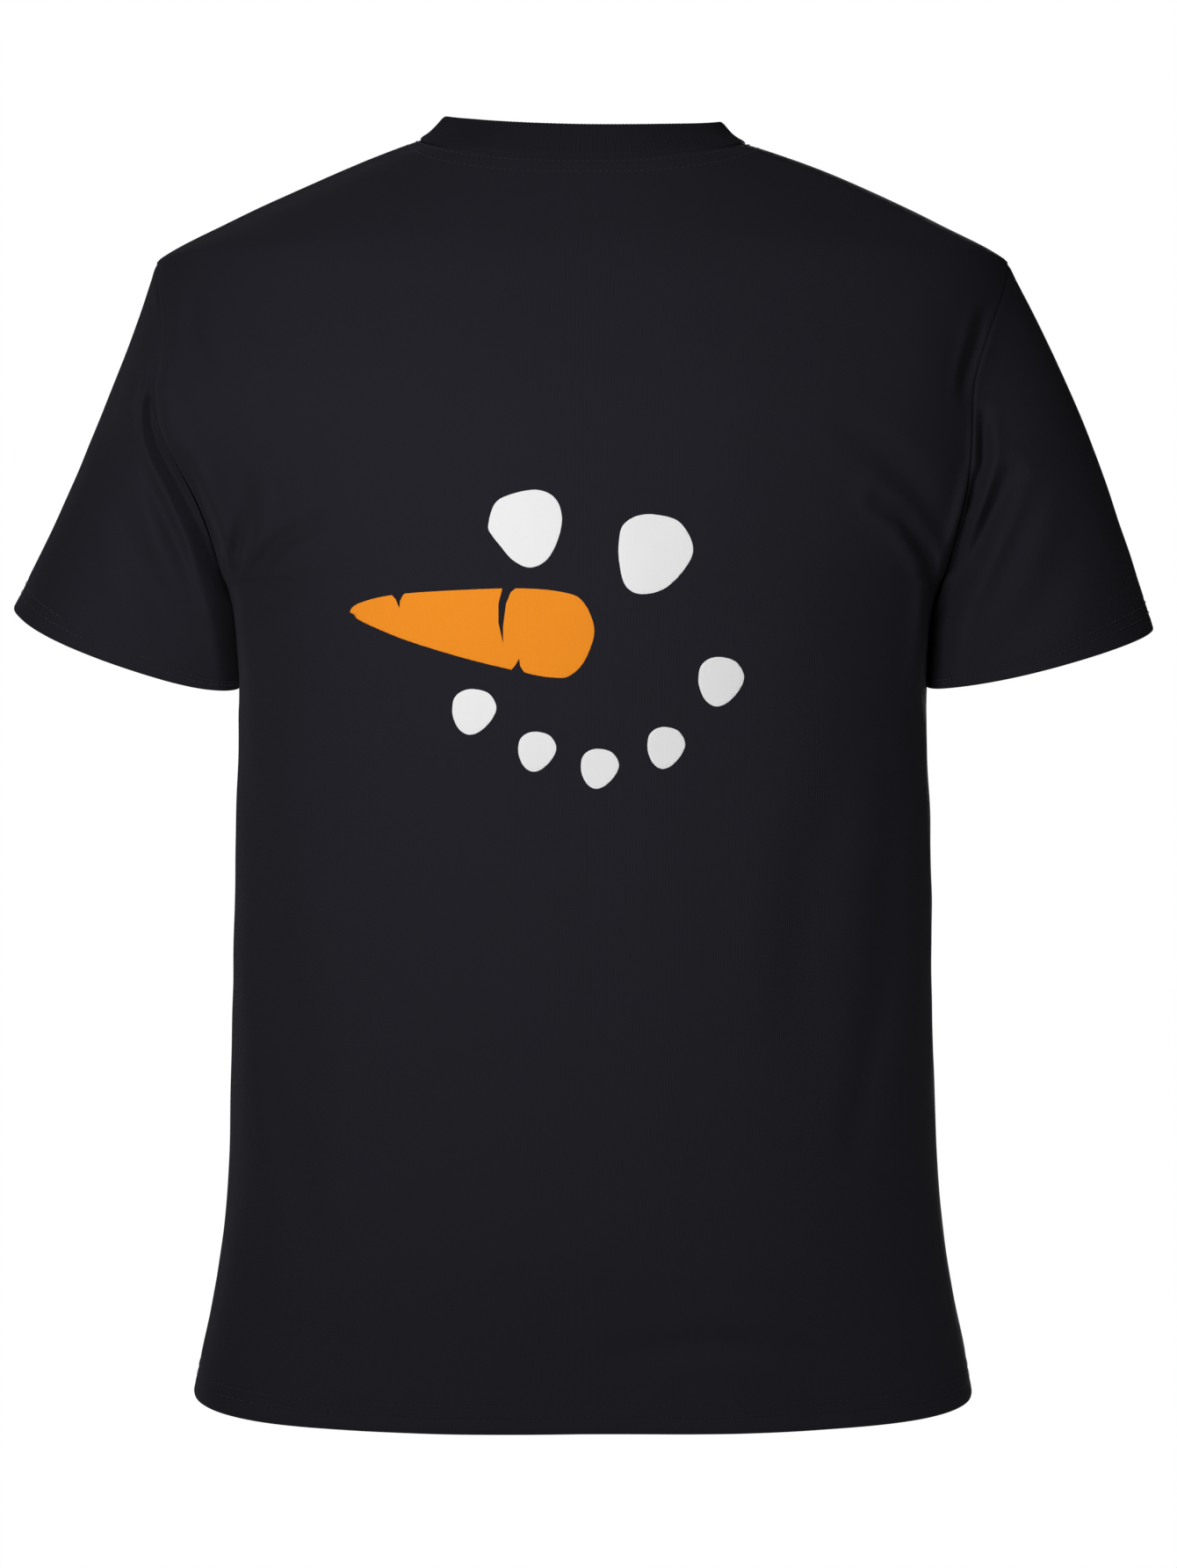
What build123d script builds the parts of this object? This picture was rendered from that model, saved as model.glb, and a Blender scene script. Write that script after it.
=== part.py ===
"""Short-sleeved crew-neck T-shirt in the shape it has on a wearer, with a snowman's face printed on its back.

Frame: millimetres, +Z up. The origin is in the middle of the neck opening, level with the neck ends of the
shoulder seams, where the wearer's neck and shoulders hold the shirt. -Y points out of the printed back,
+X to the wearer's right. Every layer of cloth is a slice of one body surface or of one sleeve surface,
so the pieces meet face to face, as sewn pieces do.
"""

from build123d import *

import os
from math import atan2, cos, pi, radians, sin, sqrt

left, right = -1, 1
side_names = {left: "left", right: "right"}

# ---------------------------------------------------------------- body
body_length = 690.0  # from the neck end of the shoulder seam straight down to the hem at the side
hem_drop_at_back = 14.0  # the hem hangs this much lower at the middle of the back
hem_half_width = 215.0
hem_half_depth = 100.0
flare_half_width = 200.0  # a fifth of the way up, where the cloth starts to spread
waist_half_width = 195.0
waist_half_depth = 117.0
chest_half_width = 192.0  # just under the arms
chest_half_depth = 124.0
blade_half_depth = 119.0  # at the shoulder blades
shoulder_half_width = 237.0
shoulder_half_depth = 97.0
shoulder_drop = 67.0  # from the neck end of the shoulder seam down to its outer end
shoulder_round = 4.0  # how far the seam bows upwards between its ends
armpit_drop = 248.0
armpit_ease = 6.0  # the cloth stands this far out from the chest at the armpit
armhole_half_depth = 62.0
body_roundness = 2.3  # exponent of the body's oval sections, where 2 is an ellipse
hem_roundness = 2.8  # the hem's oval is squarer

# ---------------------------------------------------------------- neck
neck_half_width = 90.0  # at the collar seam
neck_half_depth = 70.0
neck_forward = 4.0  # the neck's middle is this far in front of the shoulder seams
back_neck_drop = 19.0  # the collar seam at the middle of the back, below the shoulder seams
front_neck_drop = 88.0
collar_width = 20.0
collar_lean = 14.0  # at the side, the collar's top edge lies this much nearer the neck than its seam
collar_rise = 13.0  # and this much higher
rib_fullness = 0.6  # the doubled rib stands this far out of the panels' surface

# ---------------------------------------------------------------- sleeves
sleeve_out_run = 82.0  # from the shoulder's corner out to the hem's outer corner
sleeve_out_fall = {left: 190.0, right: 203.0}  # and down: the left arm is held a little higher
sleeve_in_run = -4.0  # from the armpit to the hem's inner corner, which lies close to the body
sleeve_in_fall = 55.0
sleeve_upper_half_depth = 66.0
sleeve_hem_half_depth = 62.0
sleeve_cap_bow = {left: -4.0, right: 5.0}  # how far the outer line bows out beyond a straight one
arm_forward = 9.0  # the hem sits this far in front of the armhole
arm_pitch = {left: 11.0, right: 7.0}  # degrees: the back of the hem hangs lower than its front

# ---------------------------------------------------------------- cloth and sewing
cloth = 1.0  # thickness of the jersey
body_hem = 17.0  # turned up inside
sleeve_hem = 17.0
overlock_width = 6.0
overlock_height = 1.2
tape_width = 12.0
tape_height = 0.8
trim_gap = 0.4  # between sewn trims that end at each other

# ---------------------------------------------------------------- labels
size_label_width = 26.0
size_label_length = 34.0
care_label_width = 30.0
care_label_length = 55.0
care_label_above_hem = 110.0
label_thickness = 0.4

# ---------------------------------------------------------------- printed face
print_height = 0.3
face_size = 1.0  # scale of the outlines below
face_shift = 3.0  # the outlines' origin is this far towards the wearer's right
face_drop = 282.0  # and this far below the shirt's origin

# Outlines of the face as seen from behind the wearer: (towards the right, up) from the outlines' origin.
left_eye_outline = [
    (-53, 61), (-50, 72), (-43, 77), (-28, 80), (-18, 76), (-14, 66),
    (-16, 54), (-22, 43), (-31, 39), (-40, 43), (-47, 51), (-51, 56),
]
right_eye_outline = [
    (16, 53), (18, 61), (25, 66), (35, 67), (48, 63), (55, 50),
    (51, 39), (40, 28), (27, 25), (19, 30), (16, 43),
]
carrot_outline = [
    (-126, 17), (-121, 21), (-104, 25), (-75, 27), (-37, 28), (-14, 26), (-3, 21), (3, 6),
    (-2, -10), (-10, -18), (-18, -19), (-31, -17), (-64, -9), (-96, 1), (-119, 11), (-124, 15),
]
carrot_grooves = [
    [(-106, 27), (-102, 23), (-100, 18), (-99.5, 22), (-98, 25), (-94, 28)],
    [(-45, 30), (-47.5, 20), (-47.5, 10), (-45, -1), (-45, 8), (-43.5, 20), (-41, 26), (-36, 30)],
    [(-43, -17), (-39, -13), (-36.5, -9), (-36, -13), (-34, -16), (-29, -18)],
]
pebble_outline = [
    (-0.5, 0.08), (-0.45, 0.31), (-0.27, 0.46), (0, 0.5), (0.33, 0.4), (0.5, 0.12),
    (0.4, -0.16), (0.14, -0.42), (-0.12, -0.5), (-0.34, -0.38), (-0.47, -0.14),
]
mouth_pebbles = [  # middle's place, width and height
    (-60, -37, 23, 24),
    (-27, -58, 20, 21),
    (6, -67, 20, 21),
    (41, -56, 20, 22),
    (70, -21, 24, 26),
]

top_of_surface = collar_rise + 6.0  # the body surface runs past the collar and past the hem
below_hem = 30.0
far = 4 * (body_length + shoulder_half_width)


# ---------------------------------------------------------------- the body's surface
armpit_half_width = chest_half_width + armpit_ease


def armhole_x(z):
    """How far out the armhole's plane is at height z: it leans in from the shoulder to the armpit."""
    share = (-z - shoulder_drop) / (armpit_drop - shoulder_drop)
    return shoulder_half_width + share * (armpit_half_width - shoulder_half_width)


def armhole_station(share, half_depth):
    """A body section between shoulder and armpit, as wide as leaves an armhole of the stated depth."""
    z = -shoulder_drop - share * (armpit_drop - shoulder_drop)
    opening = armhole_half_depth * sin(pi * share) ** 0.45
    wide = armhole_x(z) / (1 - (opening / half_depth) ** body_roundness) ** (1 / body_roundness)
    return (z, wide, half_depth, 0.0, body_roundness)


def shoulder_station(share):
    """A section on the shoulder slope: share is 0 at the neck and 1 at the outer end of the seam."""
    wide = neck_half_width + share * (shoulder_half_width - neck_half_width)
    deep = neck_half_depth + share**1.2 * (shoulder_half_depth - neck_half_depth)
    z = -shoulder_drop * share + 4 * shoulder_round * share * (1 - share)
    return (z, wide, deep, neck_forward * (1 - share), 2.1 + 0.2 * share)


def collar_station(z):
    """A section of the collar's own slope, above the neck ends of the shoulder seams."""
    lean = collar_lean * z / collar_rise
    return (z, neck_half_width - lean, neck_half_depth - lean * 0.4, neck_forward, 2.1)


def stations():
    """(height, half width, half depth, centre's y, exponent) of the body's sections, from the hem up."""
    under_arm = body_length - armpit_drop
    hem_at = -body_length
    upper_chest_depth = (waist_half_depth + chest_half_depth) / 2
    middle_roundness = (hem_roundness + body_roundness) / 2
    blade_depths = ((chest_half_depth + blade_half_depth) / 2, (blade_half_depth + shoulder_half_depth) / 2)
    return [
        (hem_at - below_hem, hem_half_width + 6, hem_half_depth, 0.0, hem_roundness),
        (hem_at, hem_half_width, hem_half_depth, 0.0, hem_roundness),
        (hem_at + 0.19 * under_arm, flare_half_width, hem_half_depth + 11, 0.0, middle_roundness),
        (hem_at + 0.45 * under_arm, waist_half_width, waist_half_depth, 0.0, body_roundness),
        (hem_at + 0.7 * under_arm, chest_half_width + 1, upper_chest_depth, 0.0, body_roundness),
        (hem_at + 0.9 * under_arm, chest_half_width, chest_half_depth, 0.0, body_roundness),
        (-armpit_drop, armpit_half_width, chest_half_depth, 0.0, body_roundness),
        armhole_station(0.75, blade_depths[0]),
        armhole_station(0.45, blade_half_depth),
        armhole_station(0.2, blade_depths[1]),
        shoulder_station(1.0),
        shoulder_station(0.75),
        shoulder_station(0.5),
        shoulder_station(0.25),
        shoulder_station(0.0),
        collar_station(collar_rise),
        collar_station(top_of_surface),
    ]


def closed_ring(points):
    return Wire([Edge.make_spline(points, periodic=True)])


def oval(z, half_width, half_depth, middle_y, exponent, count=32):
    """A closed horizontal oval at height z, which starts and ends at the middle of the front."""
    points = []
    for i in range(count):
        angle = 2 * pi * i / count + pi / 2
        across = abs(cos(angle)) ** (2 / exponent) * (1 if cos(angle) > 0 else -1)
        along = abs(sin(angle)) ** (2 / exponent) * (1 if sin(angle) > 0 else -1)
        points.append(Vector(half_width * across, middle_y + half_depth * along, z))
    return closed_ring(points)


solids = {}  # the solids inside the offset surfaces, by name and offset


def body_solid(offset):
    """The space inside the body's surface moved outwards by offset along its normal."""
    if ("body", offset) in solids:
        return solids["body", offset]
    rows = stations()
    rings = []
    for i, (z, wide, deep, middle, exponent) in enumerate(rows):
        low, high = rows[max(i - 1, 0)], rows[min(i + 1, len(rows) - 1)]
        rise = high[0] - low[0]
        grow_wide = offset * sqrt(1 + ((high[1] - low[1]) / rise) ** 2)
        grow_deep = offset * sqrt(1 + ((high[2] - low[2]) / rise) ** 2)
        rings.append(oval(z, wide + grow_wide, deep + grow_deep, middle, exponent))
    solids["body", offset] = Solid.make_loft(rings)
    return solids["body", offset]


def wall_between(outer, inner):
    """The wall between two nested lofts that end in the same two planes."""
    sides, rims = [], []
    for solid in (outer, inner):
        flat = [face for face in solid.faces() if face.geom_type == GeomType.PLANE]
        sides += [face for face in solid.faces() if face.geom_type != GeomType.PLANE]
        rims.append([face.outer_wire() for face in sorted(flat, key=lambda face: face.center().Z)])
    ends = [Face(around, [hole]) for around, hole in zip(*rims)]
    return Solid(Shell(sides + ends))


def body_wall(outside, inside):
    """The wall between two offsets of the body's surface, whole."""
    return wall_between(body_solid(outside), body_solid(inside))


# ---------------------------------------------------------------- regions that the cloth is cut by
def block(corner, opposite):
    """A box from one corner to the opposite one."""
    low = [min(a, b) for a, b in zip(corner, opposite)]
    size = [abs(a - b) for a, b in zip(corner, opposite)]
    return Pos(*low) * Box(*size, align=(Align.MIN, Align.MIN, Align.MIN))


def beyond_armhole(side, inwards=0.0):
    """The space on the sleeve's side of the armhole, above the armpit, with its edge moved in by inwards."""
    top = 2 * collar_rise
    low = -armpit_drop - inwards
    outline = [
        (side * (armhole_x(top) - inwards), top),
        (side * (armhole_x(low) - inwards), low),
        (side * far / 2, low),
        (side * far / 2, top),
    ]
    profile = Plane.XZ * make_face(Polyline(*outline, close=True))
    return extrude(profile, far / 2, both=True)


def inside_neck(distance=0.0):
    """The space inside the collar seam, with its edge moved outwards over the panels by distance."""
    slope = Vector(collar_lean, collar_rise).normalized() if distance < 0 else Vector(0.9, 0.42)
    half_width = neck_half_width + distance * slope.X
    rim = -distance * slope.Y
    side_drop = back_neck_drop + 0.2 * (front_neck_drop - back_neck_drop)
    drops = [
        (-2 * shoulder_half_depth, back_neck_drop),
        (-neck_half_depth, back_neck_drop),
        (neck_forward, side_drop),
        (shoulder_half_depth, front_neck_drop),
        (2 * shoulder_half_depth, front_neck_drop),
    ]
    outlines = []
    for y, drop in drops:
        depth = rim + drop + 0.95 * distance
        bottom = EllipticalCenterArc((0, rim), half_width, depth, start_angle=180, arc_size=180)
        ends = [bottom @ 0, bottom @ 1]
        tall = Vector(0, shoulder_half_width)
        top = Polyline(ends[1], ends[1] + tall, ends[0] + tall, ends[0])
        outlines.append(Plane.XZ.offset(-y) * Wire([*bottom.edges(), *top.edges()]))
    return Solid.make_loft(outlines)


def hem_plane(up=0.0):
    """The body's hem, facing up the body, moved up by up."""
    tilt = Vector(0, -hem_drop_at_back, hem_half_depth).normalized()
    return Plane(origin=Vector(0, 0, -body_length) + tilt * up, x_dir=(1, 0, 0), z_dir=tilt)


def above(solid, plane):
    """The part of a solid on the side that a plane faces."""
    return solid.split(plane, keep=Keep.TOP)


def below(solid, plane):
    return solid.split(plane, keep=Keep.BOTTOM)


back_of_seams = Plane.XZ  # faces the back from the side and shoulder seams


# ---------------------------------------------------------------- sleeves
def sleeve_line(side, share):
    """(outer point, inner point) of the sleeve's section at a share of its length from the armhole."""
    bow = sleeve_cap_bow[side] * 4 * share * (1 - share)
    out_x = shoulder_half_width + share * sleeve_out_run + bow
    out_z = -shoulder_drop - share * sleeve_out_fall[side] + bow * 0.4
    in_x = armpit_half_width + share * sleeve_in_run
    in_z = -armpit_drop - share * sleeve_in_fall
    forward = arm_forward * share
    return Vector(out_x * side, forward, out_z), Vector(in_x * side, forward, in_z)


def across_arm(side, share):
    """The direction from the front of the sleeve's section to its back."""
    tilt = radians(arm_pitch[side]) * share
    return Vector(0, -cos(tilt), -sin(tilt))


def sleeve_ring(side, share, offset, count=32):
    """A closed ring of the sleeve, grown by offset."""
    out, inn = sleeve_line(side, share)
    up = (out - inn).normalized()
    deep = across_arm(side, share)
    taper = max(0.0, 2 * share - 1)
    half_deep = sleeve_upper_half_depth + taper * (sleeve_hem_half_depth - sleeve_upper_half_depth)
    half_tall = (out - inn).length / 2
    points = []
    for i in range(count):
        angle = 2 * pi * i / count
        tall = up * ((half_tall + offset) * cos(angle))
        points.append((out + inn) * 0.5 + tall + deep * ((half_deep + offset) * sin(angle)))
    return closed_ring(points)


def armhole_ring(side, offset, count=32, fine=12):
    """The edge that the armhole cuts in the body's surface, taken at even angles from the top."""
    cut_off = body_solid(offset) & beyond_armhole(side)
    out, inn = sleeve_line(side, 0)
    up, middle = (out - inn).normalized(), (out + inn) * 0.5
    facing = Vector(-up.Z * side, 0, up.X * side).normalized()
    flat = [f for f in cut_off.faces() if abs(f.normal_at().dot(facing)) > 0.999 and abs(f.center().X) < far / 8]
    edges = max(flat, key=lambda f: f.area).outer_wire().edges()
    found = []
    for edge in edges:
        for i in range(count * fine):
            p = edge.position_at(i / (count * fine), position_mode=PositionMode.PARAMETER)
            tall = (p - middle).dot(up) * 2 / (out - inn).length
            found.append((atan2(-p.Y / armhole_half_depth, tall) % (2 * pi), p))
    points = []
    for i in range(count):
        angle = 2 * pi * i / count
        points.append(min(found, key=lambda pair: abs((pair[0] - angle + pi) % (2 * pi) - pi))[1])
    return closed_ring(points)


def sleeve_solid(side, offset):
    """The space inside the sleeve's surface moved outwards by offset."""
    if (side, offset) not in solids:
        rings = [sleeve_ring(side, share, offset) for share in (0.34, 0.67, 1.0)]
        solids[side, offset] = Solid.make_loft([armhole_ring(side, offset), *rings])
    return solids[side, offset]


def sleeve_wall(side, outside, inside):
    """The wall between two offsets of a sleeve's surface, whole."""
    return wall_between(sleeve_solid(side, outside), sleeve_solid(side, inside))


def sleeve_hem_plane(side, up=0.0):
    """The sleeve's hem, facing up the sleeve, moved up by up."""
    out, inn = sleeve_line(side, 1.0)
    facing = (out - inn).cross(across_arm(side, 1.0)).normalized()
    if facing.Z < 0:
        facing = facing * -1
    return Plane(origin=inn + facing * up, x_dir=out - inn, z_dir=facing)


# ---------------------------------------------------------------- pieces of cloth
def panels():
    """The back and the front, each with its hem turned up inside."""
    pieces = {}
    for name, half in (("back_panel", above), ("front_panel", below)):
        panel = above(half(body_wall(0, -cloth), back_of_seams), hem_plane())
        for side in (left, right):
            panel = panel - beyond_armhole(side)
        turned_up = half(body_wall(-cloth, -2 * cloth), back_of_seams)
        turned_up = below(above(turned_up, hem_plane()), hem_plane(body_hem))
        pieces[name] = (panel - inside_neck()) + turned_up
    return pieces


def sleeves():
    """Both sleeves, each with its hem turned up inside."""
    pieces = {}
    for side, name in side_names.items():
        turned_up = below(sleeve_wall(side, -cloth, -2 * cloth), sleeve_hem_plane(side, sleeve_hem))
        pieces[f"{name}_sleeve"] = sleeve_wall(side, 0, -cloth) + turned_up
    return pieces


def neck_band(outside, inside, start, end):
    """The wall between two offsets, from start to end over the panels, both measured from the collar seam."""
    top = above(body_wall(outside, inside), Plane.XY.offset(-2 * front_neck_drop))
    return (top & inside_neck(end)) - inside_neck(start)


def collar():
    """The collar, a band of rib folded double."""
    return {"collar_rib": neck_band(rib_fullness, -cloth, -collar_width, 0)}


# ---------------------------------------------------------------- seams and tapes
def neck_seam():
    """Tape over the seam across the back of the neck, and a bare overlocked edge round the front."""
    tape = neck_band(-cloth, -cloth - tape_height, -tape_width / 2, tape_width / 2)
    overlock = neck_band(-cloth, -cloth - overlock_height, -overlock_width / 2, overlock_width / 2)
    return {"back_neck_tape": above(tape, back_of_seams), "neck_seam_overlock": below(overlock, back_of_seams)}


def shoulder_tapes():
    """Tape along the inside of each shoulder seam, from the neck tape to the armhole's overlocked edge."""
    pieces = {}
    for side, name in side_names.items():
        run = block((0, -tape_width / 2, -armpit_drop / 2), (side * far / 4, tape_width / 2, far / 4))
        tape = body_wall(-cloth, -cloth - tape_height) & run
        tape = tape - inside_neck(tape_width / 2 + trim_gap)
        pieces[f"{name}_shoulder_tape"] = tape - beyond_armhole(side, overlock_width + trim_gap)
    return pieces


def overlocked_seams():
    """The overlocked edges inside both armholes, both side seams and both underarm seams."""
    pieces = {}
    for side, name in side_names.items():
        on_body = body_wall(-cloth, -cloth - overlock_height)
        rim = (on_body & beyond_armhole(side, overlock_width)) - beyond_armhole(side)
        pieces[f"{name}_armhole_overlock"] = rim

        top = -armpit_drop - overlock_width - trim_gap
        lane = block((0, -overlock_width / 2, -far / 2), (side * far / 4, overlock_width / 2, top))
        pieces[f"{name}_side_overlock"] = above(on_body & lane, hem_plane(body_hem + trim_gap))

        start, end = sleeve_line(side, 0)[1], sleeve_line(side, 1)[1]
        along = (end - start).normalized()
        reach = sleeve_hem_half_depth
        lane = Plane(origin=start, x_dir=along, z_dir=along.cross(Vector(1, 0, 0)))
        lane = lane * block((trim_gap, -reach, -overlock_width / 2), (far / 8, reach, overlock_width / 2))
        seam = sleeve_wall(side, -cloth, -cloth - overlock_height) & lane
        pieces[f"{name}_underarm_overlock"] = above(seam, sleeve_hem_plane(side, sleeve_hem + trim_gap))
    return pieces


# ---------------------------------------------------------------- labels
def labels():
    """A blank size label hanging from the neck tape, and a blank care label sewn to the left side seam."""
    half = size_label_width / 2
    low = -back_neck_drop - size_label_length
    on_tape = -cloth - tape_height
    size_space = block((-half, -far / 4, low), (half, 0, far / 4))
    size_label = (body_wall(on_tape, on_tape - label_thickness) & size_space) - inside_neck()

    low = -body_length + care_label_above_hem
    on_overlock = -cloth - overlock_height
    care_space = block((0, 0, low), (left * far / 4, care_label_width, low + care_label_length))
    care_label = body_wall(on_overlock, on_overlock - label_thickness) & care_space
    return {"size_label": size_label, "care_label": care_label}


# ---------------------------------------------------------------- print
def smooth_face(outline, middle=(0, 0), scale=(1, 1)):
    """A flat face inside a smooth closed curve, in the plane of the back."""
    points = [Vector(middle[0] + x * scale[0], middle[1] + y * scale[1]) * face_size for x, y in outline]
    return Plane.XZ * Face(closed_ring(points))


def printed(face):
    """The film of ink over the back inside a flat outline."""
    ink = extrude(Pos(face_shift, 0, -face_drop) * face, far / 4, dir=(0, -1, 0))
    return body_wall(print_height, 0) & ink


def printed_face():
    """Two eyes, a carrot for a nose and a mouth of pebbles, each its own film of ink."""
    carrot = smooth_face(carrot_outline)
    for groove in carrot_grooves:
        corners = [Vector(x, y) * face_size for x, y in groove]
        carrot = carrot - Plane.XZ * make_face(Polyline(*corners, close=True))
    pieces = {
        "left_eye_print": printed(smooth_face(left_eye_outline)),
        "right_eye_print": printed(smooth_face(right_eye_outline)),
        "carrot_nose_print": printed(carrot),
    }
    for i, (across, up, width, height) in enumerate(mouth_pebbles):
        pebble = smooth_face(pebble_outline, (across, up), (width, height))
        pieces[f"mouth_pebble_print_{i + 1}"] = printed(pebble)
    return pieces


def main():
    os.makedirs("parts", exist_ok=True)
    groups = (panels, sleeves, collar, neck_seam, shoulder_tapes, overlocked_seams, labels, printed_face)
    for group in groups:
        for name, shape in group().items():
            export_step(shape, f"parts/{name}.step")


if __name__ == "__main__":
    main()
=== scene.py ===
# %% [markdown]
# # A printed T-shirt in the shape it has on a wearer
# The shirt is cut from four pieces of black jersey: back, front and two sleeves. A rib collar, tapes,
# overlocked seams, stitching, two labels and a printed face are sewn or printed on.
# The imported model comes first, because every piece keeps to its size and place.

# %% Load the frame
from math import pi, radians

import bmesh
import bpy
import numpy as np
from mathutils import Matrix, Vector, noise


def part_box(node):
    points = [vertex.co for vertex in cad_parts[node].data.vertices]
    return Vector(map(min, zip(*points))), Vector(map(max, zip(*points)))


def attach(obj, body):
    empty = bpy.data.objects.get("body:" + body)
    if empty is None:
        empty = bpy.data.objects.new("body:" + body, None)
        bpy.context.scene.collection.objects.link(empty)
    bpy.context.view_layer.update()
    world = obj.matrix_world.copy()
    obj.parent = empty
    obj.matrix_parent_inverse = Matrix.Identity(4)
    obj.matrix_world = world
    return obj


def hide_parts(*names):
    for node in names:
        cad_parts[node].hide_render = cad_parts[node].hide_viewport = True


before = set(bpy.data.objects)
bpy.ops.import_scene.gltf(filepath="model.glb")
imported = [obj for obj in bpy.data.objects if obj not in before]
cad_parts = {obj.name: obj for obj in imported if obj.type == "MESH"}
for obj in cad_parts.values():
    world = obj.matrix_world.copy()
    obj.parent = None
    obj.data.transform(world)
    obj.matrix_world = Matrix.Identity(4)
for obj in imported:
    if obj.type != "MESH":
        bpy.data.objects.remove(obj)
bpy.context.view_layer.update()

# %% [markdown]
# ## Camera, light and floor
# The camera stands behind the wearer at the height of the middle of the shirt, far enough away for the
# sides to look straight. The background is the world's own pale colour, and the floor is a wide disc
# well below the shirt, because the shirt is held up by its wearer and touches nothing. A long lens could
# be had by typing a number, but here it is worked out from the height that the view should show.

# %% Camera
shirt_middle_z = -0.357
camera_distance = 2.2
view_height = 0.8747
sensor_width = 36

camera_data = bpy.data.cameras.new("camera")
camera_data.sensor_width = sensor_width
camera_data.lens = sensor_width * camera_distance / view_height
camera = bpy.data.objects.new("camera", camera_data)
camera.location = (0.003, -camera_distance, shirt_middle_z)
camera.rotation_euler = (radians(90), 0, 0)
bpy.context.scene.collection.objects.link(camera)
bpy.context.scene.camera = camera
print("lens:", round(camera_data.lens, 1), "mm")


# %% [markdown]
# ## World
# A white background seen directly, but a weak one as a light, since a black shirt turns grey in a bright
# room. A Light Path node tells the two uses apart, which is simpler than a second backdrop object.

# %% World: white to the eye, softer as a light
def make_world(seen=1.0, shining=0.06):
    world = bpy.data.worlds.new("studio")
    world.use_nodes = True
    tree = world.node_tree
    tree.nodes.clear()
    path = tree.nodes.new("ShaderNodeLightPath")
    bright, soft = tree.nodes.new("ShaderNodeBackground"), tree.nodes.new("ShaderNodeBackground")
    bright.inputs["Color"].default_value = (1, 1, 1, 1)
    bright.inputs["Strength"].default_value = seen
    soft.inputs["Color"].default_value = (0.96, 0.97, 1.0, 1)
    soft.inputs["Strength"].default_value = shining
    choose = tree.nodes.new("ShaderNodeMixShader")
    out = tree.nodes.new("ShaderNodeOutputWorld")
    tree.links.new(path.outputs["Is Camera Ray"], choose.inputs["Fac"])
    tree.links.new(soft.outputs[0], choose.inputs[1])
    tree.links.new(bright.outputs[0], choose.inputs[2])
    tree.links.new(choose.outputs[0], out.inputs[0])
    bpy.context.scene.world = world


make_world()
bpy.context.scene.view_settings.view_transform = "Standard"
bpy.context.scene.view_settings.look = "None"
print("world:", bpy.context.scene.world.name)


# %% [markdown]
# ## Lamps
# A small lamp close to the upper back makes the light fall off towards the hem. A large one fills the right
# side, and a strong one lights the front, which would be black otherwise. Area lamps give soft shadows.

# %% Lamps
def soft_lamp(name, place, aim, size, watts):
    data = bpy.data.lights.new(name, "AREA")
    data.size = size
    data.energy = watts
    lamp = bpy.data.objects.new(name, data)
    lamp.location = place
    lamp.rotation_euler = (Vector(aim) - Vector(place)).to_track_quat("-Z", "Y").to_euler()
    lamp.visible_camera = False
    bpy.context.scene.collection.objects.link(lamp)


chest = (0, 0, -0.22)
soft_lamp("key_upper_left", (-0.3, -0.98, -0.1), chest, 0.42, 7.6)
soft_lamp("fill_right", (1.6, -2.2, -0.3), chest, 1.4, 7)
soft_lamp("front", (0.3, 2.8, 0.3), chest, 1.2, 130)
print("lamps:", len(bpy.data.lights))


# %% [markdown]
# ## Floor
# A wide pale disc. It glows a little so that it stays pale, and it is hidden from diffuse rays so that
# its glow doesn't reach the cloth from below.

# %% Floor
def make_floor(drop=1.15, radius=1.7):
    bm = bmesh.new()
    bmesh.ops.create_circle(bm, cap_ends=True, segments=96, radius=radius)
    bmesh.ops.translate(bm, verts=bm.verts, vec=(0, 0, -drop))
    mesh = bpy.data.meshes.new("floor")
    bm.to_mesh(mesh)
    bm.free()
    floor = bpy.data.objects.new("floor", mesh)
    bpy.context.scene.collection.objects.link(floor)
    floor.visible_diffuse = False
    material = bpy.data.materials.new("pale_floor")
    material.use_nodes = True
    shader = material.node_tree.nodes["Principled BSDF"]
    shader.inputs["Base Color"].default_value = (0.86, 0.86, 0.86, 1)
    shader.inputs["Roughness"].default_value = 0.9
    shader.inputs["Emission Color"].default_value = (1, 1, 1, 1)
    shader.inputs["Emission Strength"].default_value = 0.55
    mesh.materials.append(material)
    print("floor radius:", radius, "m")


make_floor()

# %% [markdown]
# ## The shirt's surface
# Every piece of cloth, tape and ink lies on one of two surfaces: the body or a sleeve. The body is a stack
# of rounded oval sections, wide at the shoulders and straight below the arms. Working on these surfaces
# keeps the pieces meeting along their seams. Sizes here are in millimetres, as a pattern cutter uses.
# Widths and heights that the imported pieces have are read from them, and the rest are named values.

# %% Sizes, read from the frame where it has them
mm = 0.001
left, right, back, front = -1, 1, -1, 1
panel_low, panel_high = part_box("back_panel")
shoulder_x = panel_high[0] / mm
hem_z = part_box("front_panel")[0][2] / mm
back_hem_drop = hem_z - panel_low[2] / mm
overlock_width = 6.0
armpit_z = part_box("left_armhole_overlock")[0][2] / mm + overlock_width
shoulder_z = -67.0
armpit_x = 198.0
armhole_half_depth = 62.0
neck_half_width = 90.0
neck_forward = 4.0
back_neck_drop, front_neck_drop = 19.0, 88.0
collar_width, collar_lean, collar_rise = 20.0, 14.0, 13.0
hem_half_depth = 100.0
hem_depth = 17.0
cloth = 0.9
chest_half_width, chest_half_depth, chest_roundness = 192.0, 124.0, 2.3
hem_half_width, hem_roundness = 215.0, 2.8
print("shoulder", round(shoulder_x), "hem", round(hem_z), "armpit", round(armpit_z))

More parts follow.
